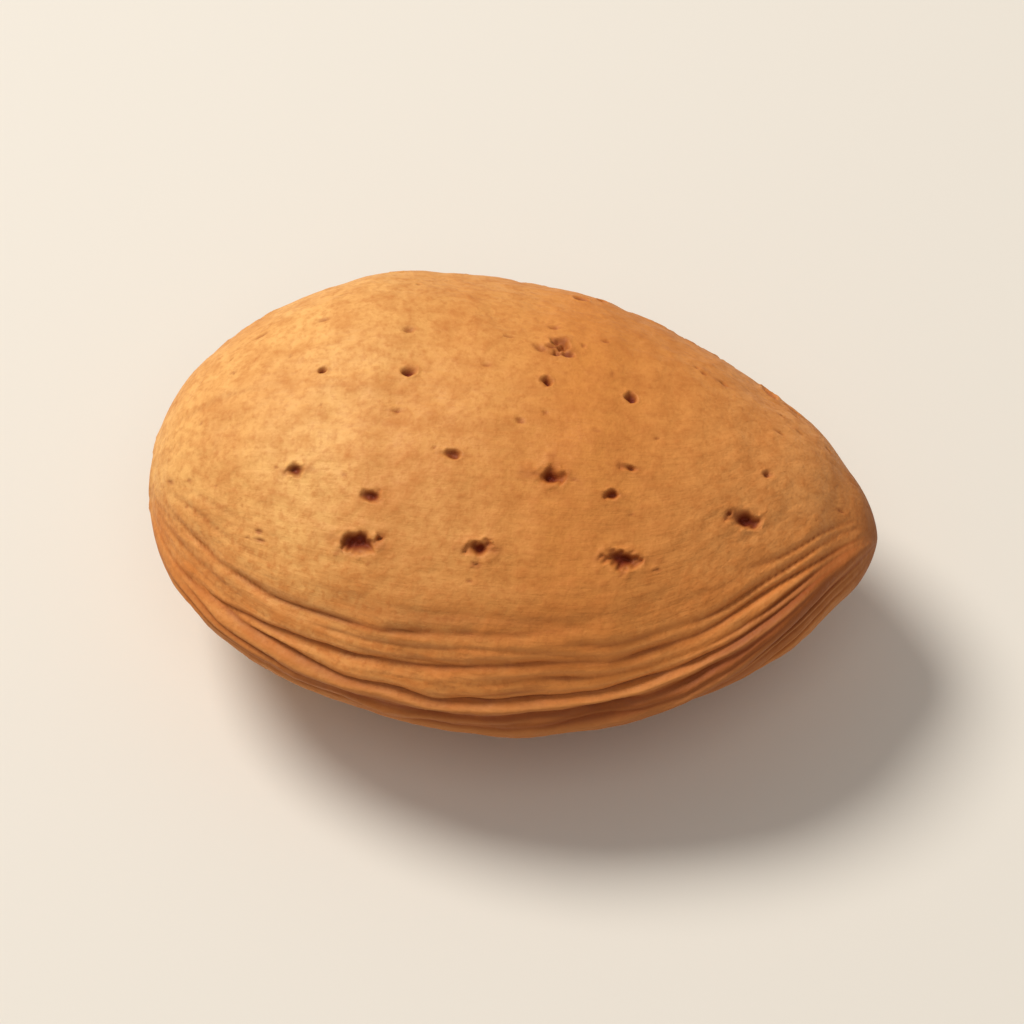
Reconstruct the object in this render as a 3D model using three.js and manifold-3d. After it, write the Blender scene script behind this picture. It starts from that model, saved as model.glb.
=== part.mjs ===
// An almond in its shell, lying on one of its two broad faces.
//
// Frame: millimetres, +Z up. +X runs from the blunt stem end to the pointed tip, and the seam that
// joins the two halves of the shell runs along the -Y side. The origin is on the surface that the
// almond rests on, under the middle of its bounding box.
//
// A place on the shell is given by two numbers. `along` goes from -1 at the stem end to +1 at the
// tip. `around` is an angle about the long axis, in degrees: 0 at the seam side, 90 at the middle
// of the upper face, 180 at the rounded back edge and 270 at the middle of the lower face.

import * as THREE from "three";
import { mergeVertices } from "three/addons/utils/BufferGeometryUtils.js";
import Module from "manifold-3d";

const wasm = await Module();
wasm.setup();

// Driving dimensions of the body, without the relief of the shell.
const LENGTH = 37.5;
const WIDTH = 24.6;
const THICKNESS = 17.2;
const FLAT_SPOT_DEPTH = 0.25; // how much of the rounded lower face is worn flat

// How fast the outline closes at each end: a low power is blunt, a high one is pointed.
const BACK_EDGE = { stemPower: 0.46, tipPower: 0.64 };
const SEAM_EDGE = { stemPower: 0.52, tipPower: 0.57 };
const FACES = { stemPower: 0.5, tipPower: 0.66 };
const BACK_FULLNESS = 0.12; // the thickest place lies this much nearer the back than the seam

// The seam is a keel that turns up towards the upper face near the tip.
const KEEL_HEIGHT = 1;
const KEEL_HALF_ANGLE = 10;
const SEAM_TURN = 62; // degrees at the tip
const SEAM_TURN_START = 0.1;
const SEAM_TURN_POWER = 2.8;

// Furrows and lips that run along the shell. Each has a half angle in degrees and its stations,
// which are `along`, an angle and a depth in millimetres. A negative depth is a raised lip. These
// angles are measured from the seam.
const SEAM_LINES = [
  // The fold that leaves the stem end and fades across the face.
  {
    halfAngle: 2.6,
    stations: [[-0.97, 52, 0], [-0.9, 42, 0.16], [-0.65, 28, 0.34], [-0.45, 27.5, 0.34], [0.35, 38, 0]],
  },
  { halfAngle: 2.6, stations: [[-0.97, 34, 0], [-0.88, 27, 0.18], [-0.62, 20, 0]] },
  // The long furrow in the middle of the furrowed band.
  {
    halfAngle: 2.2,
    stations: [
      [-0.98, 14, 0], [-0.76, 10, 0.24], [-0.35, 16.5, 0.32],
      [0.1, 23, 0.24], [0.4, 21.5, 0.26], [0.97, 15, 0],
    ],
  },
  { halfAngle: 2.4, stations: [[0.1, 31, 0], [0.5, 27.5, 0.12], [0.8, 25, 0.18], [0.97, 29, 0]] },
  // The deep furrow under the upper lip of the seam, the lip, and the hollow below it.
  {
    halfAngle: 1.9,
    stations: [
      [-0.85, 13, 0], [-0.6, 8, 0.4], [-0.35, 7.5, 0.48],
      [0.4, 11, 0.44], [0.8, 7, 0.38], [1, 4, 0],
    ],
  },
  {
    halfAngle: 1.6,
    stations: [[-0.7, 5, 0], [-0.3, 4.4, -0.2], [0.4, 7.6, -0.24], [0.8, 3.8, -0.2], [1, 2, 0]],
  },
  {
    halfAngle: 3.4,
    stations: [[-0.7, -2, 0], [-0.2, 0, 0.3], [0.2, 2.4, 0.4], [0.6, 2, 0.45], [1, 0, 0]],
  },
  {
    halfAngle: 2.4,
    stations: [[-0.95, -9, 0], [-0.76, -9.6, -0.4], [-0.2, -6.4, -0.18], [0.5, -4, -0.2], [0.9, -6, 0]],
  },
  // The same band on the underside.
  {
    halfAngle: 2,
    stations: [[-0.95, -17, 0], [-0.7, -18, 0.4], [-0.2, -14, 0.42], [0.5, -12, 0.4], [1, -8, 0]],
  },
  {
    halfAngle: 2.4,
    stations: [[-0.97, -24, 0], [-0.6, -25, 0.32], [0, -24, 0.28], [0.85, -30, 0.26], [1, -30, 0]],
  },
  { halfAngle: 2.8, stations: [[-0.97, -42, 0], [-0.7, -34, 0.28], [-0.3, -33, 0.22], [0.2, -38, 0]] },
  { halfAngle: 2.8, stations: [[-0.3, -44, 0], [0, -42, 0.14], [0.5, -45, 0.2], [1, -55, 0]] },
];
// Shallow furrows of the back edge, with angles about the long axis.
const BACK_LINES = [
  { halfAngle: 4, stations: [[-0.9, 158, 0], [-0.4, 156, 0.12], [0.6, 158, 0]] },
  { halfAngle: 4, stations: [[-0.98, 178, 0], [-0.5, 175, 0.2], [0.2, 171, 0.2], [0.8, 176, 0]] },
  { halfAngle: 4, stations: [[-0.8, 186, 0], [-0.3, 188, 0.2], [0.4, 191, 0.22], [0.97, 190, 0]] },
  { halfAngle: 4, stations: [[-0.9, 208, 0], [-0.4, 207, 0.14], [0.3, 203, 0]] },
];

// A fuller shoulder on the back edge near the stem end, and a notch under the blunt tip. The
// shoulder's angle is about the long axis and the notch's is from the seam.
const SHOULDER = { height: 0.35, along: -0.42, halfLength: 0.22, angle: 155, halfAngle: 38 };
const NOTCH = { height: -0.6, along: 0.9, halfLength: 0.05, angle: -25, halfAngle: 150 };

// The scar where the stalk broke off.
const SCAR_DEPTH = 0.5;
const SCAR_RADIUS = 1.2;

// Broad unevenness of the shell, as waves along and around it. Heights are in millimetres.
const SWELLINGS = [
  { height: 0.16, waves: 2.3, shift: 1.1, lobes: 2, turn: -40 },
  { height: 0.11, waves: 5.1, shift: -1, lobes: 3, turn: 69 },
  { height: 0.07, waves: 8.7, shift: 2, lobes: 4, turn: 0 },
];

// The larger pores of the shell. `size` is the width across the nut and `stretch` is the length
// along the nut divided by the width.
const PORES = [
  { along: -0.02, around: 81, size: 1.3, stretch: 1.2 },
  { along: -0.19, around: 75, size: 1.1, stretch: 1.1 },
  { along: 0.15, around: 72, size: 0.9, stretch: 1.5 },
  { along: 0.22, around: 55, size: 1.1, stretch: 1.1 },
  { along: -0.08, around: 46, size: 1.1, stretch: 1.2 },
  { along: 0.47, around: 64, size: 0.9, stretch: 1.2 },
  { along: 0.63, around: 66, size: 1.0, stretch: 1.2 },
  { along: 0.39, around: 68, size: 0.6, stretch: 2.4 },
  { along: -0.42, around: 57, size: 0.7, stretch: 1.9 },
  { along: -0.56, around: 70, size: 0.7, stretch: 1.9 },
  { along: -0.57, around: 99, size: 0.7, stretch: 1.4 },
  { along: -0.38, around: 101, size: 0.9, stretch: 1.2 },
  { along: -0.12, around: 102, size: 0.7, stretch: 1.9 },
  { along: -0.04, around: 116, size: 1.0, stretch: 1.6 },
  { along: 0.38, around: 97, size: 0.7, stretch: 1.5 },
  { along: -0.62, around: 250, size: 0.9, stretch: 1.3 },
  { along: -0.48, around: 293, size: 1.0, stretch: 1.2 },
  { along: -0.4, around: 228, size: 1.0, stretch: 1.2 },
  { along: 0.2, around: 292, size: 1.2, stretch: 1.2 },
  { along: 0.1, around: 238, size: 1.1, stretch: 1.4 },
  { along: 0.34, around: 258, size: 0.9, stretch: 1.2 },
  { along: 0.5, around: 285, size: 0.9, stretch: 1.5 },
  { along: 0.62, around: 250, size: 0.8, stretch: 1.2 },
];
const PORE_DEPTH_SHARE = 0.55; // depth divided by width

// Mesh of the body, as rings about the long axis.
const RINGS = 42;
const RING_POINTS = 112;
const SEAM_CROWDING = 0.66; // how strongly the points of a ring crowd together at the seam
const PORE_SEGMENTS = { around: 8, across: 6 };

const SHELL_COLOUR = new THREE.Color(0.72, 0.45, 0.21);
const SHELL_ROUGHNESS = 0.7;

const { clamp, degToRad, euclideanModulo, lerp } = THREE.MathUtils;
const bell = (x) => Math.exp(-x * x);

// A half-width as a share of its greatest value, at a place along the nut.
function taper(along, { stemPower, tipPower }) {
  const raw = (place) => Math.pow(1 + place, stemPower) * Math.pow(1 - place, tipPower);
  const widestPlace = (stemPower - tipPower) / (stemPower + tipPower);
  return raw(clamp(along, -1, 1)) / raw(widestPlace);
}

// The angle at which the seam lies, at a place along the nut.
function seamAngle(along) {
  const share = Math.max(0, (along - SEAM_TURN_START) / (1 - SEAM_TURN_START));
  return SEAM_TURN * Math.pow(share, SEAM_TURN_POWER);
}

// The signed turn from one angle to another, from -180 to 180 degrees.
function turnBetween(from, to) {
  return euclideanModulo(to - from + 180, 360) - 180;
}

// The angle and the depth of a line between the two stations nearest to a place.
function stationAt(stations, along) {
  const next = Math.max(1, stations.findIndex(([place]) => place > along));
  const [start, end] = [stations[next - 1], stations[next]];
  const share = clamp((along - start[0]) / (end[0] - start[0]), 0, 1);
  return [lerp(start[1], end[1], share), lerp(start[2], end[2], share)];
}

function lineDepth({ halfAngle, stations }, along, angle) {
  if (along < stations[0][0] || along > stations.at(-1)[0]) return 0;
  const [centre, depth] = stationAt(stations, along);
  return depth * bell(turnBetween(centre, angle) / halfAngle);
}

function lumpHeight(lump, along, angle) {
  const lengthwise = bell((along - lump.along) / lump.halfLength);
  return lump.height * lengthwise * bell(turnBetween(lump.angle, angle) / lump.halfAngle);
}

function swellingHeight(swelling, along, around) {
  const alongWave = Math.sin(swelling.waves * along + swelling.shift);
  return swelling.height * alongWave * Math.cos(degToRad(swelling.lobes * around + swelling.turn));
}

// How far the surface stands out from the smooth body, in millimetres.
function relief(along, around) {
  const fromSeam = turnBetween(seamAngle(along), around);
  let height = KEEL_HEIGHT * bell(fromSeam / KEEL_HALF_ANGLE);
  height += lumpHeight(SHOULDER, along, around) + lumpHeight(NOTCH, along, fromSeam);
  for (const line of SEAM_LINES) height -= lineDepth(line, along, fromSeam);
  for (const line of BACK_LINES) height -= lineDepth(line, along, around);
  for (const swelling of SWELLINGS) height += swellingHeight(swelling, along, around);
  return height;
}

// The point of the shell at a place, with the long axis on X.
function shellPoint(along, around) {
  const c = Math.cos(degToRad(around));
  const s = Math.sin(degToRad(around));
  const width = lerp(taper(along, SEAM_EDGE), taper(along, BACK_EDGE), (1 - c) / 2);
  const thickness = taper(along, FACES);
  const out = relief(along, around) * Math.min(1, 2 * thickness); // dies away at both ends
  const y = -((WIDTH / 2) * width + out) * c;
  const z = ((THICKNESS / 2) * thickness * (1 - BACK_FULLNESS * c) + out) * s;
  const scar = along < 0 ? SCAR_DEPTH * bell(Math.hypot(y, z) / SCAR_RADIUS) : 0;
  return new THREE.Vector3((LENGTH / 2) * along + scar, y, z);
}

// A sphere's rings, each turned so that its crowded points follow the seam, laid over the body.
function bodyGeometry() {
  const geometry = new THREE.SphereGeometry(1, RING_POINTS, RINGS);
  const grid = geometry.getAttribute("uv");
  const position = geometry.getAttribute("position");
  for (let i = 0; i < position.count; i++) {
    const turns = grid.getX(i);
    const crowding = (SEAM_CROWDING / (2 * Math.PI)) * Math.sin(2 * Math.PI * turns);
    const along = Math.cos(Math.PI * grid.getY(i));
    const around = seamAngle(along) + 360 * (turns - crowding);
    position.setXYZ(i, ...shellPoint(along, around));
  }
  return geometry;
}

// The egg-shaped cutter for one pore, centred on the surface with its long axis along the nut.
function poreGeometry({ along, around, size, stretch }) {
  const centre = shellPoint(along, around);
  const lengthwise = shellPoint(along + 0.01, around).sub(centre).normalize();
  const sideways = shellPoint(along, around + 1).sub(centre).normalize();
  const outward = new THREE.Vector3().crossVectors(sideways, lengthwise).normalize();
  const across = new THREE.Vector3().crossVectors(outward, lengthwise);
  const geometry = new THREE.SphereGeometry(1, PORE_SEGMENTS.around, PORE_SEGMENTS.across);
  geometry.scale((size / 2) * stretch, size / 2, size * PORE_DEPTH_SHARE);
  geometry.applyMatrix4(new THREE.Matrix4().makeBasis(lengthwise, across, outward));
  geometry.translate(...centre);
  return geometry;
}

// A box that reaches from far below up to the height at which the flat spot is worn.
function groundGeometry(top) {
  const geometry = new THREE.BoxGeometry(2 * LENGTH, 2 * WIDTH, THICKNESS);
  geometry.translate(0, 0, top - THICKNESS / 2);
  return geometry;
}

// A closed three.js mesh as a manifold-3d solid, and a solid as three.js geometry.
function solidOf(geometry) {
  geometry.deleteAttribute("normal");
  geometry.deleteAttribute("uv");
  const merged = mergeVertices(geometry, 1e-4);
  const vertProperties = merged.getAttribute("position").array;
  const triVerts = new Uint32Array(merged.getIndex().array);
  return new wasm.Manifold(new wasm.Mesh({ numProp: 3, vertProperties, triVerts }));
}

function geometryOf(solid) {
  const { vertProperties, triVerts } = solid.getMesh();
  const geometry = new THREE.BufferGeometry();
  geometry.setAttribute("position", new THREE.BufferAttribute(vertProperties, 3));
  geometry.setIndex(new THREE.BufferAttribute(triVerts, 1));
  geometry.computeVertexNormals();
  geometry.computeBoundingBox();
  return geometry;
}

function almondSolid() {
  let solid = solidOf(bodyGeometry());
  for (const pore of PORES) solid = solid.subtract(solidOf(poreGeometry(pore)));
  const lowest = solid.boundingBox().min[2];
  return solid.subtract(solidOf(groundGeometry(lowest + FLAT_SPOT_DEPTH)));
}

function almondMesh() {
  const material = new THREE.MeshStandardMaterial({
    color: SHELL_COLOUR,
    roughness: SHELL_ROUGHNESS,
    metalness: 0,
  });
  const mesh = new THREE.Mesh(geometryOf(almondSolid()), material);
  const box = mesh.geometry.boundingBox;
  const middle = box.getCenter(new THREE.Vector3());
  mesh.name = "almond";
  mesh.position.set(-middle.x, -middle.y, -box.min.z);
  return mesh;
}

const nut = new THREE.Group();
nut.add(almondMesh());
export default nut;
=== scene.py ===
"""An almond in its shell, lying on one broad face on a pale floor.

The shell is one fine mesh. A place on it is given by `along`, from -1 at the blunt stem end to +1
at the pointed tip, and by `around`, the angle about the long axis in degrees: 0 at the seam side,
90 at the middle of the upper face, 180 at the back edge and 270 at the middle of the lower face.
The form is worked out in millimetres and then laid into the box of the CAD node.
"""

import math

import bmesh
import bpy
import numpy as np
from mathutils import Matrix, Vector


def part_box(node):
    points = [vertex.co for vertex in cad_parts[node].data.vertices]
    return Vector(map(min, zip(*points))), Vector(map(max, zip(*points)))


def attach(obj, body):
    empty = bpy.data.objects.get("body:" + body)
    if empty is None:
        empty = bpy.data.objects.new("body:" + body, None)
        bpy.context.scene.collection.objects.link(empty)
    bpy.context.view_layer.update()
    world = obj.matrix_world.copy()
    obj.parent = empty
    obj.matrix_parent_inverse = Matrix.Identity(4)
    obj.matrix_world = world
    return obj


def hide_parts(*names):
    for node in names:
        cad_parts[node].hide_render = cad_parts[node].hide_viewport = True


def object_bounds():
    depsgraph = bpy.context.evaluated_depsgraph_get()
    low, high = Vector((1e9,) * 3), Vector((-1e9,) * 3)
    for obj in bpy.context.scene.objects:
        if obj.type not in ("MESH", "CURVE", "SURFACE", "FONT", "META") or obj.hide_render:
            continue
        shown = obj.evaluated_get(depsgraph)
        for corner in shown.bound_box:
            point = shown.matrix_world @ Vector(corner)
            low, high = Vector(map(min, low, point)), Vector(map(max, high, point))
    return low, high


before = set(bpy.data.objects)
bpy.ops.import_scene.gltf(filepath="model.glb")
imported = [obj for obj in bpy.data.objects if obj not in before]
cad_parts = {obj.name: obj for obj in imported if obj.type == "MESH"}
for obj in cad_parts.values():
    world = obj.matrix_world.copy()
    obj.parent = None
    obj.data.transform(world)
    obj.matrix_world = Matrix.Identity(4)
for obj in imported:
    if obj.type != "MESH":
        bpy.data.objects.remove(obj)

CAD_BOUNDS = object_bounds()
MM = 0.001

# ---------------------------------------------------------------------------------------------
# The body, in millimetres, as in the CAD model.

LENGTH = 37.5
WIDTH = 24.6
THICKNESS = 17.2
FLAT_SPOT_DEPTH = 0.25

# How fast the outline closes at each end, as (power at the stem, power at the tip).
BACK_EDGE = (0.46, 0.64)
SEAM_EDGE = (0.52, 0.57)
FACES = (0.5, 0.66)
BACK_FULLNESS = 0.12

SEAM_TURN = 62.0
SEAM_TURN_START = 0.1
SEAM_TURN_POWER = 2.8

KEEL_HEIGHT = 1.0
KEEL_HALF_ANGLE = 10.0

# Lines that run along the shell. Each is a half angle in degrees and its stations: `along`, angle
# and depth in millimetres, where a negative depth is a raised lip. These are measured from the seam.
SEAM_LINES = [
    # The fold that leaves the stem end and fades across the face, with fainter ones about it.
    (2.0, [(-0.97, 52, 0), (-0.9, 42, 0.16), (-0.8, 33, 0.2), (-0.65, 28, 0.34), (-0.45, 27.5, 0.34),
           (-0.3, 29, 0.26), (0, 32, 0.14), (0.35, 38, 0)]),
    (1.6, [(-0.95, 58, 0), (-0.86, 51, 0.14), (-0.72, 43.5, 0.13), (-0.6, 41, 0)]),
    (1.6, [(-0.9, 62, 0), (-0.8, 56, 0.1), (-0.66, 51, 0.04), (-0.5, 49, 0)]),
    (2.6, [(-0.97, 34, 0), (-0.88, 27, 0.2), (-0.78, 22, 0.12), (-0.62, 20, 0)]),
    (1.6, [(-0.6, 23, 0), (-0.4, 23.5, 0.08), (-0.1, 26, 0.1), (0.15, 29, 0)]),
    (4.0, [(-0.5, 34, 0), (-0.2, 35.5, 0.12), (0.1, 37, 0.08), (0.5, 40, 0)]),
    # The long furrow in the middle of the furrowed band.
    (1.8, [(-0.98, 14, 0), (-0.9, 10.8, 0.2), (-0.76, 10, 0.24), (-0.6, 14.2, 0.34), (-0.35, 16.5, 0.34),
           (-0.1, 19.5, 0.22), (0.1, 23, 0.26), (0.25, 23.7, 0.12), (0.4, 21.5, 0.28), (0.55, 21.2, 0.12),
           (0.7, 21, 0.38), (0.8, 18.5, 0.42), (0.88, 17, 0.26), (0.94, 16, 0)]),
    (1.4, [(-0.1, 14.5, 0), (0.05, 16, 0.1), (0.2, 17.5, 0.14), (0.4, 17, 0.06), (0.6, 15.5, 0)]),
    (1.6, [(0.1, 31, 0), (0.35, 29, 0.14), (0.5, 27.5, 0.05), (0.65, 26, 0.24), (0.8, 25, 0.34), (0.9, 28, 0.12), (0.95, 30, 0)]),
    (1.5, [(0.64, 38, 0), (0.76, 32, 0.26), (0.86, 33, 0.3), (0.93, 38, 0)]),
    # The deep furrow under the bright upper lip of the seam, and those that leave it.
    (1.7, [(-0.85, 13, 0), (-0.74, 10.6, 0.16), (-0.6, 8, 0.42), (-0.35, 7.5, 0.5), (0.1, 9.2, 0.46),
           (0.4, 11, 0.46), (0.6, 9.6, 0.44), (0.75, 7.8, 0.32), (0.86, 6.6, 0.16), (0.93, 6, 0)]),
    (1.2, [(-0.15, 9.5, 0), (-0.02, 11.4, 0.16), (0.12, 12.6, 0.12), (0.25, 13, 0)]),
    (1.4, [(0.55, 14.5, 0), (0.7, 12.6, 0.26), (0.84, 11, 0.3), (0.93, 10, 0)]),
    (1.2, [(-0.7, 7.4, 0), (-0.5, 5.7, -0.12), (-0.3, 5.6, -0.18), (0.1, 7.3, -0.24), (0.4, 9, -0.22),
           (0.6, 7.6, -0.18), (0.75, 5.8, -0.06), (0.84, 5, 0)]),
    # The parting of the two halves, fine lines beside it, and the lower lip.
    (1.5, [(-0.95, -4, 0), (-0.8, -4.5, 0.24), (-0.5, -4.5, 0.3), (-0.15, -2.8, 0.26), (0.1, -0.5, 0.22),
           (0.35, 1.4, 0.2), (0.6, -1, 0.12), (0.8, -2, 0.08), (0.94, -2, 0)]),
    (1.2, [(-0.94, 7, 0), (-0.82, 5.4, 0.2), (-0.66, 2.8, 0.2), (-0.45, 1.4, 0.16), (-0.2, 1.6, 0.14), (0, 2.8, 0)]),
    (1.2, [(-0.96, 2, 0), (-0.85, 0.6, 0.2), (-0.7, -1, 0.2), (-0.5, -1.8, 0.14), (-0.3, -1.2, 0)]),
    (3.4, [(-0.7, -1, 0), (-0.45, 0.6, 0.2), (-0.2, 2.2, 0.36), (0.1, 3.8, 0.46), (0.4, 5.4, 0.46),
           (0.6, 4, 0.36), (0.74, 2.4, 0.18), (0.86, 1.4, 0)]),
    (1.0, [(0.3, -1.4, 0), (0.5, -1.6, 0.06), (0.7, 2.6, 0.05), (0.85, 2.2, 0)]),
    (1.1, [(0.1, 3.4, 0), (0.3, 4.6, 0.12), (0.55, 3.4, 0.1), (0.8, 0.8, 0.05), (0.95, 0, 0)]),
    (2.4, [(-0.95, -9, 0), (-0.76, -9.6, -0.4), (-0.5, -8.6, -0.3), (-0.2, -6.4, -0.18), (0.2, -4.4, -0.2),
           (0.5, -4, -0.14), (0.8, -6, 0)]),
    # The same band on the underside.
    (1.9, [(-0.95, -17, 0), (-0.7, -18, 0.4), (-0.2, -14, 0.42), (0.5, -12, 0.4), (0.9, -12, 0.3), (1, -8, 0)]),
    (1.4, [(-0.8, -21, 0), (-0.4, -19, 0.14), (0, -18, 0.2), (0.4, -17, 0.1), (0.7, -17, 0)]),
    (2.0, [(-0.97, -24, 0), (-0.6, -25, 0.32), (0, -24, 0.28), (0.5, -27, 0.3), (0.85, -30, 0.26), (1, -30, 0)]),
    (2.2, [(-0.97, -42, 0), (-0.7, -34, 0.28), (-0.3, -33, 0.22), (0.2, -38, 0)]),
    (2.2, [(-0.3, -44, 0), (0, -42, 0.14), (0.5, -45, 0.2), (0.85, -52, 0.2), (1, -55, 0)]),
]
# Those of the back edge are measured about the long axis.
BACK_LINES = [
    (2.6, [(-0.9, 158, 0), (-0.4, 156, 0.12), (0.2, 159, 0.08), (0.6, 158, 0)]),
    (1.8, [(-0.95, 168, 0), (-0.3, 165, 0.1), (0.4, 167, 0.08), (0.9, 172, 0)]),
    (2.4, [(-0.98, 178, 0), (-0.5, 175, 0.22), (0.2, 171, 0.2), (0.8, 176, 0)]),
    (1.8, [(-0.4, 183, 0), (0.1, 182, 0.12), (0.6, 181, 0.12), (0.97, 186, 0)]),
    (2.4, [(-0.8, 186, 0), (-0.3, 188, 0.22), (0.4, 191, 0.22), (0.97, 190, 0)]),
    (1.8, [(-0.95, 200, 0), (-0.5, 198, 0.12), (0.4, 196, 0)]),
    (2.6, [(-0.9, 208, 0), (-0.4, 207, 0.14), (0.3, 203, 0)]),
]
LINE_SMOOTHING = (-0.06, -0.03, 0, 0.03, 0.06) # rounds the bends of a line at its stations
LINE_WANDER = 0.32  # degrees that a line strays to either side

# Fine short furrows, scattered: count, mean angle, spread of the angle, and range of `along`.
FINE_FURROWS = [
    (60, 8, 30, -0.9, 0.9),
    (24, 26, 14, -0.95, 0.2),
    (24, 180, 30, -0.9, 0.9),
    (30, 90, 180, -1.05, -0.75),
    (26, 40, 140, 0.72, 1.05),
]
FINE_FURROW_DEPTH = (0.03, 0.10)
FINE_FURROW_HALF_ANGLE = (0.9, 1.9)

# A fuller shoulder on the back edge near the stem end, and a notch under the blunt tip: height,
# `along`, half length, angle and half angle. The shoulder's angle is about the long axis and the
# notch's is from the seam.
SHOULDER = (0.35, -0.42, 0.22, 155, 38)
NOTCH = (-0.6, 0.9, 0.05, -25, 150)

SCAR_DEPTH = 0.5
SCAR_RADIUS = 1.2

# Broad unevenness: height, waves along, shift, lobes around, turn.
SWELLINGS = [
    (0.16, 2.3, 1.1, 2, -40),
    (0.11, 5.1, -1.0, 3, 69),
    (0.07, 8.7, 2.0, 4, 0),
]

# ---------------------------------------------------------------------------------------------
# Pores. The larger ones of the upper face lie in loose rows along the shell: count, angle, range of
# `along`, range of the width in millimetres, and depth as a share of the width.
PORE_ROWS = [
    (3, 50, -0.4, 0.3, (1.0, 1.3), 0.4),
    (6, 70, -0.6, 0.6, (0.6, 1.2), 0.4),
    (4, 90, -0.3, 0.7, (0.3, 0.5), 0.4),
    (4, 100, -0.6, 0.4, (0.5, 0.7), 0.5),
    (3, 115, -0.3, 0.5, (0.3, 0.5), 0.3),
]
ROW_JITTER = (0.05, 4)  # of `along`, and in degrees
SMEARED_SHARE = 0.5  # of the pores in rows, those on a lengthwise smear of stain
UPPER_CLUSTERS = 3
SCATTERED_CLUSTERS = 16  # on the sides and the lower face
SCATTERED_PORES = 60  # on the sides and the lower face
SPECKS = 120  # all round, each under half a millimetre
SEED = 11
MM_PER_DEGREE = 0.2  # about the long axis, in the middle of the face

# ---------------------------------------------------------------------------------------------
# Mesh density, as cells of a cube that is pushed out to the nut: along its length, across its
# breadth and up its height; and the crowding at the seam.

CELLS_ALONG = 128
CELLS_ACROSS = 70
CELLS_UP = 110
SEAM_CROWDING = 0.4
REFINED_PORES = (0.05, 0.15)  # the least depth of a pore whose cells are split once, and again


def bell(x):
    return np.exp(-x * x)


def smooth_step(x, low, high):
    share = np.clip((x - low) / (high - low), 0, 1)
    return share * share * (3 - 2 * share)


def turn_between(start, end):
    """The signed turn from one angle to another, from -180 to 180 degrees."""
    return (end - start + 180) % 360 - 180


def wave_noise(points, wavelength, seed, count=28):
    """A smooth random field with a mean of 0 and a spread of 1, as a sum of plane waves."""
    draw = np.random.default_rng(seed)
    directions = draw.normal(size=(count, points.shape[1]))
    directions /= np.linalg.norm(directions, axis=1, keepdims=True)
    lengths = wavelength * draw.uniform(0.6, 1.6, count)
    shifts = draw.uniform(0, 2 * math.pi, count)
    total = np.zeros(len(points))
    for direction, length, shift in zip(directions, lengths, shifts):
        total += np.sin(points @ direction * (2 * math.pi / length) + shift)
    return total * math.sqrt(2 / count)


def taper(along, powers):
    """A half-width as a share of its greatest value."""
    stem, tip = powers
    widest = (stem - tip) / (stem + tip)
    peak = (1 + widest) ** stem * (1 - widest) ** tip
    place = np.clip(along, -1, 1)
    return (1 + place) ** stem * (1 - place) ** tip / peak


def seam_angle(along):
    share = np.maximum(0, (along - SEAM_TURN_START) / (1 - SEAM_TURN_START))
    return SEAM_TURN * share**SEAM_TURN_POWER


def smooth_body(along, around, out=0.0):
    """Points of the body with `out` millimetres added square to the long axis."""
    c = np.cos(np.radians(around))
    s = np.sin(np.radians(around))
    back_share = (1 - c) / 2
    width = taper(along, SEAM_EDGE) * (1 - back_share) + taper(along, BACK_EDGE) * back_share
    thickness = taper(along, FACES)
    out = out * np.minimum(1, 2 * thickness)
    x = LENGTH / 2 * along
    y = -(WIDTH / 2 * width + out) * c
    z = (THICKNESS / 2 * thickness * (1 - BACK_FULLNESS * c) + out) * s
    return np.stack([x + 0 * y, y, z], axis=-1)


def line_relief(along, angle, girth, line, wander):
    """Depth of a line at many places, and how nearly they lie at its bottom or on its shoulders."""
    half_angle, stations = line
    places, angles, depths = zip(*stations)
    centre = np.mean([np.interp(along + step, places, angles) for step in LINE_SMOOTHING], axis=0)
    depth = np.mean([np.interp(along + step, places, depths) for step in LINE_SMOOTHING], axis=0)
    offset = turn_between(centre + wander, angle) * (0.4 + 0.6 * girth) / half_angle
    bottom = np.exp(-np.abs(1.7 * offset) ** 1.4)
    shoulder = bell((np.abs(offset) - 1.9) / 0.6)
    relief = depth * (0.6 * bottom + 0.4 * bell(offset / 1.9) - 0.12 * shoulder)
    return depth, relief, bottom, shoulder


def fine_furrows():
    """Short, shallow furrows as lines about the long axis, drawn at random."""
    draw = np.random.default_rng(SEED + 50)
    lines = []
    for count, angle, spread, start, end in FINE_FURROWS:
        for _ in range(count):
            middle = draw.uniform(start, end)
            reach = draw.uniform(0.08, 0.3)
            at = angle + draw.uniform(-spread, spread)
            drift = draw.normal(0, 2)
            depth = draw.uniform(*FINE_FURROW_DEPTH)
            stations = [(middle - reach, at - drift, 0), (middle, at, depth), (middle + reach, at + drift, 0)]
            lines.append((draw.uniform(*FINE_FURROW_HALF_ANGLE), stations))
    return lines


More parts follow.
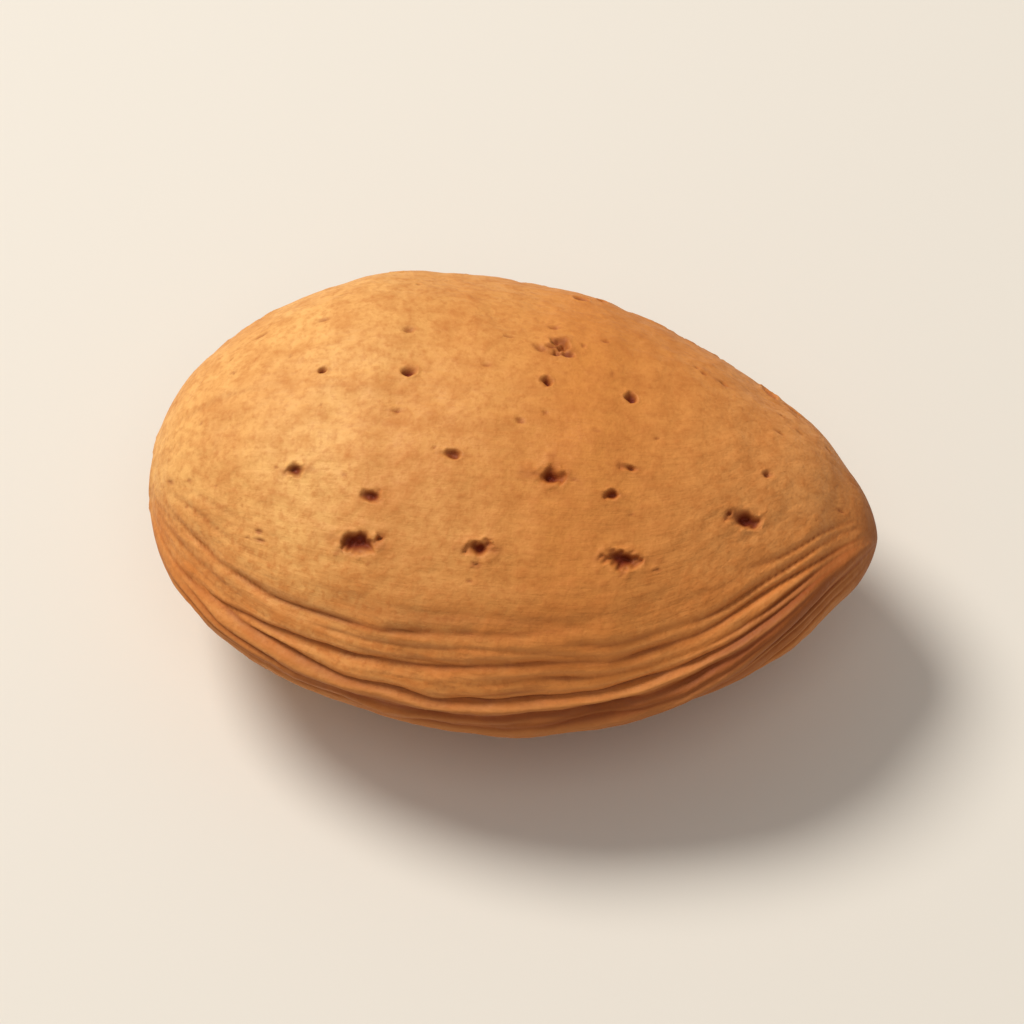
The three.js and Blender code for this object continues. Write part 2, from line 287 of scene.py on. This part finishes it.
class Shell:
    """The shell's relief at many places at once in millimetres, its stains, painted shade and highlight."""

    def __init__(self, along, around, pores):
        self.along = along
        self.around = around
        self.from_seam = turn_between(seam_angle(along), around)
        self.girth = np.minimum(1, 2 * taper(along, FACES))
        self.base = smooth_body(along, around)
        self.height = np.zeros(len(along))
        self.furrow = np.zeros(len(along))
        self.lip = np.zeros(len(along))
        self.pore = np.zeros(len(along))
        self.stain = np.zeros(len(along))
        self.add_keel()
        self.add_lines()
        self.add_unevenness()
        self.add_pores(pores)

    def add_keel(self):
        self.height += KEEL_HEIGHT * bell(self.from_seam / KEEL_HALF_ANGLE)
        for lump, angle in ((SHOULDER, self.around), (NOTCH, self.from_seam)):
            height, place, half_length, middle, half_angle = lump
            lengthwise = bell((self.along - place) / half_length)
            self.height += height * lengthwise * bell(turn_between(middle, angle) / half_angle)

    def add_lines(self):
        rows = [(line, self.from_seam) for line in SEAM_LINES + fine_furrows()]
        rows += [(line, self.around) for line in BACK_LINES]
        for number, (line, angle) in enumerate(rows):
            middle_angle = line[1][len(line[1]) // 2][1]
            path = np.stack([self.along * LENGTH / 2, np.full(len(self.along), 0.3 * middle_angle)], -1)
            wander = LINE_WANDER * wave_noise(path, 4.5, SEED + 100, count=16)
            depth, relief, bottom, shoulder = line_relief(self.along, angle, self.girth, line, wander)
            uneven = 1 + 0.2 * wave_noise(path, 4.0, SEED + 200 + number, count=8)
            self.height -= np.where(depth > 0, relief * uneven, relief)
            # `furrow` is painted shade at the bottoms of the furrows, darker for deeper ones.
            self.furrow = np.maximum(self.furrow, bottom * np.clip(depth * uneven / 0.22, 0, 1))
            # `lip` is a painted highlight: paler on raised lips and on the crests beside furrows.
            self.lip = np.maximum(self.lip, bottom * np.clip(-depth / 0.2, 0, 1))
            self.lip = np.maximum(self.lip, 0.7 * shoulder * np.clip(depth / 0.3, 0, 1))

    def add_unevenness(self):
        for height, waves, shift, lobes, turn in SWELLINGS:
            around_wave = np.cos(np.radians(lobes * self.around + turn))
            self.height += height * np.sin(waves * self.along + shift) * around_wave
        self.height += 0.06 * wave_noise(self.base, 8.0, SEED + 1)
        self.height += 0.026 * wave_noise(self.base, 2.6, SEED + 2)
        self.height += 0.010 * wave_noise(self.base, 0.9, SEED + 6, count=60)
        streaks = self.grain() * (0.25, 1, 1)
        self.height += 0.010 * wave_noise(streaks, 1.1, SEED + 3, count=60)

    def grain(self):
        """Coordinates in millimetres that run from pole to pole along the seam's course."""
        angle = np.radians(self.from_seam)
        radius = (WIDTH + THICKNESS) / 4 * np.minimum(1, 1.3 * taper(self.along, FACES))
        across = np.stack([np.cos(angle), np.sin(angle)], -1) * radius[:, None]
        return np.column_stack([self.along * LENGTH / 2, across])

    def add_pores(self, pores):
        ragged = 0.17 * wave_noise(self.base, 0.8, SEED + 4, count=60)
        ragged += 0.06 * wave_noise(self.base, 0.42, SEED + 5, count=60)
        crumbs = 0.1 * wave_noise(self.base, 0.4, SEED + 7, count=60)
        for along, around, length, width, depth in pores:
            x, y, near = pore_coordinates(self.along, self.around, along, around, 1.2 * length + 0.6)
            share = np.abs(x / (length / 2)) ** 1.8 + np.abs(y / (width / 2)) ** 1.8
            reach = 1.12 * share ** (1 / 1.8) * (1 + ragged[near])
            hollow = 1 - smooth_step(reach, 0.15, 1.1)
            self.height[near] -= depth * hollow * (1 + crumbs[near])
            self.height[near] += 0.15 * depth * bell((reach - 1.35) / 0.28)
            # The pore's own darker colour and painted shade in its hollow, stronger the deeper it is.
            pore_tone_and_shade = min(1.0, 0.14 + depth / 0.36)
            self.pore[near] = np.maximum(self.pore[near], pore_tone_and_shade * (1 - smooth_step(reach, 0.3, 1.1)))
            halo = min(1.0, 0.3 + depth) * bell(np.maximum(0, reach - 0.8) / 0.4)
            self.stain[near] = np.maximum(self.stain[near], halo)


def pore_coordinates(along, around, centre_along, centre_around, reach):
    """Lengthwise and crosswise distance from a pore's centre, for the places within reach of it."""
    step = 0.01
    centre, ahead, aside = smooth_body(
        np.array([centre_along, centre_along + step, centre_along]),
        np.array([centre_around, centre_around, centre_around + 1.0]),
    )
    mm_along = np.linalg.norm(ahead - centre) / step
    mm_around = np.linalg.norm(aside - centre)
    x = (along - centre_along) * mm_along
    y = turn_between(centre_around, around) * mm_around
    near = np.nonzero((np.abs(x) < reach) & (np.abs(y) < reach))[0]
    return x[near], y[near], near


def far_enough(place, others, spacing):
    point = smooth_body(np.array(place[0]), np.array(place[1]))
    for other in others:
        gap = np.linalg.norm(point - smooth_body(np.array(other[0]), np.array(other[1])))
        if gap < spacing + other[2] / 2:
            return False
    return True


def row_pores():
    """The larger pores of the upper face, in loose rows, and the shallow smears about some."""
    draw = np.random.default_rng(SEED + 70)
    pores, smears = [], []
    for count, angle, start, end, widths, depth_share in PORE_ROWS:
        for middle in np.linspace(start, end, count):
            along = middle + draw.normal(0, ROW_JITTER[0])
            around = angle + draw.normal(0, ROW_JITTER[1])
            width = draw.uniform(*widths)
            length = width * draw.uniform(1.0, 1.9)
            pores.append((along, around, length, width, depth_share * width))
            if draw.random() < SMEARED_SHARE:
                smears.append((along, around, 2 * length, 0.7 * width, 0.06))
    return pores, smears


def cluster(draw, along, around, length, width, widest):
    """Small pores in one ragged cluster on a faint stain."""
    pores = [(along, around, length, 0.8 * width, 0.03)]
    for _ in range(int(draw.integers(4, 12))):
        width_of_pore = draw.uniform(0.16, widest)
        length_of_pore = width_of_pore * draw.uniform(1.0, 2.2)
        at = along + 0.24 * length * draw.normal() / (LENGTH / 2)
        turn = around + 0.24 * width * draw.normal() / MM_PER_DEGREE
        pores.append((at, turn, length_of_pore, width_of_pore, draw.uniform(0.2, 0.5) * width_of_pore))
    return pores


def cluster_pores(draw):
    """The clusters of the upper face, and those of the sides and the lower face."""
    pores = []
    for _ in range(UPPER_CLUSTERS):
        along, around = draw.uniform(-0.5, 0.3), draw.uniform(95, 120)
        pores += cluster(draw, along, around, draw.uniform(1.4, 2.0), draw.uniform(1.1, 1.5), 0.6)
    for _ in range(SCATTERED_CLUSTERS):
        along, around = draw.uniform(-0.8, 0.8), draw.uniform(140, 325)
        pores += cluster(draw, along, around, draw.uniform(0.6, 1.6), draw.uniform(0.5, 1.1), 0.4)
    return pores


def all_pores():
    draw = np.random.default_rng(SEED)
    placed, smears = row_pores()
    wanted = len(placed) + SCATTERED_PORES
    while len(placed) < wanted:
        along = draw.uniform(-0.85, 0.85)
        around = draw.uniform(142, 318)
        width = 0.45 + 0.75 * draw.random() ** 1.6
        length = width * draw.uniform(1.0, 2.2)
        depth = 0.55 * width
        if abs(turn_between(180, around)) < 14 or not far_enough((along, around), placed, 0.9):
            continue
        placed.append((along, around, length, width, depth))
    specks = []
    while len(specks) < SPECKS:
        along = draw.uniform(-0.93, 0.93)
        around = draw.uniform(45, 320)
        width = draw.uniform(0.12, 0.3)
        length = width * draw.uniform(1.0, 4.0)
        if far_enough((along, around), placed, 0.35):
            specks.append((along, around, length, width, 0.4 * width))
    return placed + smears + cluster_pores(draw) + specks


# ---------------------------------------------------------------------------------------------
# The mesh.


def face_grid(out, right, up, cells_right, cells_up):
    """One face of a cube pushed out to the unit sphere, as points and quads."""
    a = np.tan(np.linspace(-1, 1, cells_right + 1) * math.pi / 4)
    b = np.tan(np.linspace(-1, 1, cells_up + 1) * math.pi / 4)
    grid_a, grid_b = np.meshgrid(a, b, indexing="ij")
    points = np.array(out) + grid_a[..., None] * np.array(right) + grid_b[..., None] * np.array(up)
    points = points.reshape(-1, 3)
    points /= np.linalg.norm(points, axis=1, keepdims=True)
    corner = np.arange((cells_right + 1) * (cells_up + 1)).reshape(cells_right + 1, cells_up + 1)
    quads = np.stack([corner[:-1, :-1], corner[1:, :-1], corner[1:, 1:], corner[:-1, 1:]], -1)
    return points, quads.reshape(-1, 4)


def sphere_grid():
    """A unit sphere from six cube faces, with more cells along X than across it."""
    x, y, z = np.eye(3)
    along, across, rise = CELLS_ALONG, CELLS_ACROSS, CELLS_UP
    faces = [
        face_grid(x, y, z, across, rise),
        face_grid(-x, z, y, rise, across),
        face_grid(y, z, x, rise, along),
        face_grid(-y, x, z, along, rise),
        face_grid(z, x, y, along, across),
        face_grid(-z, y, x, across, along),
    ]
    starts = np.cumsum([0] + [len(points) for points, _ in faces[:-1]])
    points = np.concatenate([points for points, _ in faces])
    quads = np.concatenate([quads + start for (_, quads), start in zip(faces, starts)])
    _, first, inverse = np.unique(np.round(points, 6), axis=0, return_index=True, return_inverse=True)
    return points[first], inverse.reshape(-1)[quads]


def places_of(points):
    """`along` and `around` of points of the unit sphere, with the seam's turn and crowding."""
    along = np.clip(points[:, 0], -1, 1)
    angle = np.arctan2(points[:, 2], -points[:, 1])
    around = np.degrees(angle - SEAM_CROWDING * np.sin(angle)) + seam_angle(along)
    return along, around


def vertex_array(mesh):
    flat = np.empty(3 * len(mesh.vertices), dtype=np.float32)
    mesh.vertices.foreach_get("co", flat)
    return flat.reshape(-1, 3).astype(float)


def refine(mesh, pores):
    """Splits the cells in and around the pores, which need a finer mesh than the rest."""
    for least_depth in REFINED_PORES:
        along, around = places_of(vertex_array(mesh))
        fine = np.zeros(len(along), dtype=bool)
        for place, turn, length, width, depth in pores:
            if depth >= least_depth:
                x, y, near = pore_coordinates(along, around, place, turn, 1.2 * length + 0.6)
                inside = np.hypot(x / (length / 2 + 0.12), y / (width / 2 + 0.12)) < 1
                fine[near[inside]] = True
        work = bmesh.new()
        work.from_mesh(mesh)
        work.verts.ensure_lookup_table()
        edges = [e for e in work.edges if fine[e.verts[0].index] or fine[e.verts[1].index]]
        bmesh.ops.subdivide_edges(work, edges=edges, cuts=1, use_grid_fill=True)
        for vert in work.verts:
            vert.co.normalize()
        work.to_mesh(mesh)
        work.free()


def add_attribute(mesh, name, values):
    kind = "FLOAT_VECTOR" if values.ndim == 2 else "FLOAT"
    attribute = mesh.attributes.new(name, kind, "POINT")
    field = "vector" if values.ndim == 2 else "value"
    attribute.data.foreach_set(field, values.astype(np.float32).ravel())


def fit_to_box(points, box):
    low, high = (np.array(corner) for corner in box)
    own_low, own_high = points.min(0), points.max(0)
    return low + (points - own_low) / (own_high - own_low) * (high - low)


def stem_scar(along, surface):
    """Depth of the scar at the stem end and height of its rim, both from 0 to 1."""
    ragged = 1 + 0.13 * wave_noise(surface, 1.4, SEED + 8)
    reach = np.hypot(surface[:, 1], surface[:, 2]) * ragged / SCAR_RADIUS
    rough = 1 + 0.25 * wave_noise(surface, 0.7, SEED + 9)
    scar = (1 - smooth_step(reach, 0.45, 1.15)) * np.clip(rough, 0.4, 1.2)
    rim = bell((reach - 1.4) / 0.3)
    return np.where(along < 0, scar, 0), np.where(along < 0, rim, 0)


def build_shell():
    pores = all_pores()
    points, quads = sphere_grid()
    mesh = bpy.data.meshes.new("shell")
    mesh.from_pydata(points.tolist(), [], quads.tolist())
    refine(mesh, pores)
    along, around = places_of(vertex_array(mesh))
    shell = Shell(along, around, pores)
    surface = smooth_body(along, around, shell.height)
    scar, rim = stem_scar(along, surface)
    surface[:, 0] += SCAR_DEPTH * (scar - 0.2 * rim)
    floor_height = surface[:, 2].min() + FLAT_SPOT_DEPTH
    surface[:, 2] = np.maximum(surface[:, 2], floor_height)
    surface = fit_to_box(surface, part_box("almond"))
    mesh.vertices.foreach_set("co", surface.astype(np.float32).ravel())
    add_attribute(mesh, "pore", np.clip(shell.pore + 0.5 * scar, 0, 1))
    add_attribute(mesh, "stain", np.clip(shell.stain + 0.8 * scar + 0.3 * rim, 0, 1))
    add_attribute(mesh, "furrow", np.clip(shell.furrow, 0, 1))
    add_attribute(mesh, "lip", shell.lip)
    # `seam` marks the face under the seam's lip, where the material paints shade in a darker brown.
    edge = 2 + 10 * smooth_step(along, 0.4, 0.9)
    below_lip = 1 - smooth_step(shell.from_seam, edge, edge + 8)
    # `band` marks the furrowed band beside the seam, where the material paints shade as a deeper orange and adds
    # dapples.
    above = 1 - smooth_step(shell.from_seam, 10, 62)
    away_from_ends = smooth_step(shell.girth, 0.1, 0.8)
    add_attribute(mesh, "band", away_from_ends * np.where(shell.from_seam > 0, above, bell(shell.from_seam / 34)))
    add_attribute(mesh, "seam", away_from_ends * below_lip * bell(shell.from_seam / 40))
    add_attribute(mesh, "along", along)
    add_attribute(mesh, "grain", shell.grain())
    mesh.polygons.foreach_set("use_smooth", [True] * len(mesh.polygons))
    mesh.update()
    print("shell mesh:", len(mesh.vertices), "vertices,", len(mesh.polygons), "faces")
    piece = bpy.data.objects.new("almond_shell", mesh)
    bpy.context.scene.collection.objects.link(piece)
    return piece


# ---------------------------------------------------------------------------------------------
# Materials.


def linear(red, green, blue):
    """A colour given as sRGB values from 0 to 255."""
    def channel(value):
        share = value / 255
        return share / 12.92 if share <= 0.04045 else ((share + 0.055) / 1.055) ** 2.4
    return (channel(red), channel(green), channel(blue), 1.0)


# The shell's tan with painted light and shade along it: paler at the stem half, darker in the middle, lighter near
# the tip.
STEM_TAN_PAINTED_LIGHT = linear(237, 180, 106)
MIDDLE_TAN_PAINTED_SHADE = linear(212, 136, 62)
TIP_TAN_PAINTED_LIGHT = linear(224, 152, 84)
DARK_TAN = linear(208, 134, 64)
STREAK_TAN = linear(186, 108, 44)
STAIN_BROWN = linear(170, 88, 32)
# Painted shade in the furrows.
FURROW_BROWN_PAINTED_SHADE = linear(140, 64, 18)
# Painted shade: the deeper orange of the furrowed band beside the seam.
BAND_TAN_PAINTED_SHADE = linear(212, 126, 54)
# Painted shade: the darker brown under the seam's lip and at the pointed tip.
PAINTED_SHADE_BROWN = linear(138, 68, 18)
# Painted highlight: paler on raised lips and on the crests beside furrows.
LIP_TAN_PAINTED_HIGHLIGHT = linear(230, 158, 90)
# The pores' own darker brown and painted shade in their hollows.
PORE_BROWN_AND_SHADE = linear(116, 38, 8)


class NodeTree:
    """Short calls for building a material's node tree."""

    def __init__(self, name):
        self.material = bpy.data.materials.new(name)
        self.material.use_nodes = True
        self.tree = self.material.node_tree
        self.shader = self.tree.nodes["Principled BSDF"]

    def connect(self, source, target):
        self.tree.links.new(source, target)

    def set_input(self, socket, value):
        if isinstance(value, bpy.types.NodeSocket):
            self.connect(value, socket)
        else:
            socket.default_value = value

    def attribute(self, name, output="Fac"):
        node = self.tree.nodes.new("ShaderNodeAttribute")
        node.attribute_name = name
        return node.outputs[output]

    def object_coordinates(self):
        return self.tree.nodes.new("ShaderNodeTexCoord").outputs["Object"]

    def stretched(self, vector, scale):
        node = self.tree.nodes.new("ShaderNodeMapping")
        self.connect(vector, node.inputs["Vector"])
        node.inputs["Scale"].default_value = scale
        return node.outputs["Vector"]

    def noise(self, vector, scale, detail=3.0, roughness=0.5):
        node = self.tree.nodes.new("ShaderNodeTexNoise")
        self.connect(vector, node.inputs["Vector"])
        node.inputs["Scale"].default_value = scale
        node.inputs["Detail"].default_value = detail
        node.inputs["Roughness"].default_value = roughness
        return node.outputs["Fac"]

    def ramp(self, value, low, high, bottom=0.0, top=1.0):
        node = self.tree.nodes.new("ShaderNodeMapRange")
        self.connect(value, node.inputs["Value"])
        node.inputs["From Min"].default_value = low
        node.inputs["From Max"].default_value = high
        node.inputs["To Min"].default_value = bottom
        node.inputs["To Max"].default_value = top
        return node.outputs["Result"]

    def math(self, operation, first, second):
        node = self.tree.nodes.new("ShaderNodeMath")
        node.operation = operation
        self.set_input(node.inputs[0], first)
        self.set_input(node.inputs[1], second)
        return node.outputs["Value"]

    def mix(self, share, first, second):
        node = self.tree.nodes.new("ShaderNodeMix")
        node.data_type = "RGBA"
        self.set_input(node.inputs["Factor"], share)
        self.set_input(node.inputs["A"], first)
        self.set_input(node.inputs["B"], second)
        return node.outputs["Result"]

    def bump(self, height, distance, strength):
        node = self.tree.nodes.new("ShaderNodeBump")
        self.connect(height, node.inputs["Height"])
        node.inputs["Distance"].default_value = distance
        node.inputs["Strength"].default_value = strength
        return node.outputs["Normal"]


def shell_material():
    nodes = NodeTree("almond_shell")
    place = nodes.object_coordinates()
    grain = nodes.attribute("grain", "Vector")
    along = nodes.attribute("along")
    patches = nodes.noise(place, 120.0, detail=2.0)
    streaks = nodes.noise(nodes.stretched(grain, (0.14, 1.0, 1.0)), 1.6, detail=4.0, roughness=0.6)
    fibres = nodes.noise(nodes.stretched(grain, (0.2, 1.0, 1.0)), 5.0, detail=3.0, roughness=0.6)
    mottle = nodes.noise(place, 900.0, detail=3.0, roughness=0.6)
    specks = nodes.noise(place, 3000.0, detail=2.0, roughness=0.6)

    # Painted light and shade along the nut: paler at the stem half, darker in the middle, lighter near the tip.
    colour = nodes.mix(nodes.ramp(along, -0.45, 0.15), STEM_TAN_PAINTED_LIGHT, MIDDLE_TAN_PAINTED_SHADE)
    colour = nodes.mix(nodes.ramp(along, 0.25, 0.8), colour, TIP_TAN_PAINTED_LIGHT)
    colour = nodes.mix(nodes.ramp(patches, 0.4, 0.7, 0.0, 0.6), colour, DARK_TAN)
    colour = nodes.mix(nodes.ramp(streaks, 0.5, 0.8, 0.0, 0.3), colour, STREAK_TAN)
    colour = nodes.mix(nodes.ramp(mottle, 0.42, 0.72, 0.0, 0.5), colour, STREAK_TAN)
    colour = nodes.mix(nodes.ramp(specks, 0.45, 0.72, 0.0, 0.45), colour, STREAK_TAN)
    # Painted shade: a deeper orange over the furrowed band beside the seam.
    band_shade_share = nodes.math("MULTIPLY", nodes.attribute("band"), nodes.ramp(mottle, 0.3, 0.6, 0.45, 0.8))
    colour = nodes.mix(band_shade_share, colour, BAND_TAN_PAINTED_SHADE)
    dapple = nodes.math("MAXIMUM", nodes.ramp(specks, 0.5, 0.62, 0, 0.35), nodes.ramp(streaks, 0.52, 0.64, 0, 0.3))
    dapple = nodes.math("MULTIPLY", nodes.attribute("band"), dapple)
    colour = nodes.mix(dapple, colour, STREAK_TAN)
    # Painted shade under the seam's lip, stronger towards the tip.
    seam_shade_share = nodes.math("MULTIPLY", nodes.attribute("seam"), nodes.ramp(along, -0.9, 0.3, 0.25, 0.88))
    colour = nodes.mix(seam_shade_share, colour, PAINTED_SHADE_BROWN)
    # Painted shade: darker towards the pointed tip.
    colour = nodes.mix(nodes.ramp(along, 0.84, 1.0, 0.0, 0.75), colour, PAINTED_SHADE_BROWN)
    # Painted highlight on raised lips and on the crests beside furrows.
    colour = nodes.mix(nodes.math("MULTIPLY", nodes.attribute("lip"), 0.45), colour, LIP_TAN_PAINTED_HIGHLIGHT)
    # Painted shade at the bottoms of the furrows, darker for deeper ones.
    furrow = nodes.math("MULTIPLY", nodes.attribute("furrow"), nodes.ramp(mottle, 0.3, 0.6, 0.9, 0.6))
    colour = nodes.mix(furrow, colour, FURROW_BROWN_PAINTED_SHADE)
    stain = nodes.math("MULTIPLY", nodes.attribute("stain"), nodes.ramp(specks, 0.3, 0.7, 0.75, 0.35))
    colour = nodes.mix(stain, colour, STAIN_BROWN)
    # Darker in the pores: partly their own colour and partly painted shade in the hollows.
    colour = nodes.mix(nodes.attribute("pore"), colour, PORE_BROWN_AND_SHADE)
    nodes.connect(colour, nodes.shader.inputs["Base Color"])

    nodes.connect(nodes.ramp(mottle, 0.3, 0.7, 0.56, 0.72), nodes.shader.inputs["Roughness"])
    nodes.shader.inputs["Specular IOR Level"].default_value = 0.3
    coarse = nodes.math("ADD", nodes.math("MULTIPLY", streaks, 0.32), nodes.math("MULTIPLY", mottle, 0.45))
    fine = nodes.math("ADD", nodes.math("MULTIPLY", fibres, 0.10), nodes.math("MULTIPLY", specks, 0.14))
    relief = nodes.math("ADD", coarse, fine)
    nodes.connect(nodes.bump(relief, 0.00022, 0.85), nodes.shader.inputs["Normal"])
    return nodes.material


def floor_material():
    nodes = NodeTree("pale_floor")
    nodes.shader.inputs["Base Color"].default_value = linear(226, 222, 215)
    nodes.shader.inputs["Roughness"].default_value = 0.8
    return nodes.material


# ---------------------------------------------------------------------------------------------
# Floor, light and camera.


FLOOR_GAP = 0.02 * MM  # keeps the floor out of the plane of the flat spot


def add_floor():
    mesh = bpy.data.meshes.new("floor")
    half = 1.5
    corners = [(-half, -half, 0), (half, -half, 0), (half, half, 0), (-half, half, 0)]
    mesh.from_pydata(corners, [], [(0, 1, 2, 3)])
    mesh.materials.append(floor_material())
    floor = bpy.data.objects.new("floor", mesh)
    floor.location.z = -FLOOR_GAP
    bpy.context.scene.collection.objects.link(floor)


def direction(azimuth, elevation):
    """The unit vector towards a place round the object: azimuth 0 is -Y, 90 is +X."""
    a, e = math.radians(azimuth), math.radians(elevation)
    return Vector((math.sin(a) * math.cos(e), -math.cos(a) * math.cos(e), math.sin(e)))


def aim(thing, target):
    thing.rotation_euler = (target - thing.location).to_track_quat("-Z", "Y").to_euler()


def add_light(name, target, azimuth, elevation, distance, size, power, colour):
    data = bpy.data.lights.new(name, "AREA")
    data.shape = "DISK"
    data.size = size
    data.energy = power
    data.color = colour
    light = bpy.data.objects.new(name, data)
    light.location = target + direction(azimuth, elevation) * distance
    aim(light, target)
    bpy.context.scene.collection.objects.link(light)


def add_lights(target):
    add_light("key", target, -122, 54, 0.6, 0.26, 3.3, (1.0, 0.95, 0.87))
    add_light("fill", target, 10, 65, 0.8, 0.5, 0.9, (1.0, 0.91, 0.82))
    world = bpy.data.worlds.new("studio")
    world.use_nodes = True
    background = world.node_tree.nodes["Background"]
    background.inputs["Color"].default_value = (1.0, 0.96, 0.91, 1.0)
    background.inputs["Strength"].default_value = 0.3
    bpy.context.scene.world = world
    bpy.context.scene.view_settings.view_transform = "Standard"


def add_camera(target):
    data = bpy.data.cameras.new("camera")
    data.lens = 200
    data.sensor_width = 36
    data.clip_start = 0.01
    camera = bpy.data.objects.new("camera", data)
    camera.location = target + direction(6.3, 57) * 0.29
    aim(camera, target)
    bpy.context.scene.collection.objects.link(camera)
    bpy.context.scene.camera = camera


low, high = CAD_BOUNDS
middle = (low + high) / 2
add_camera(middle)
add_lights(middle)
add_floor()
almond = build_shell()
almond.data.materials.append(shell_material())
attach(almond, "root")
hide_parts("almond")
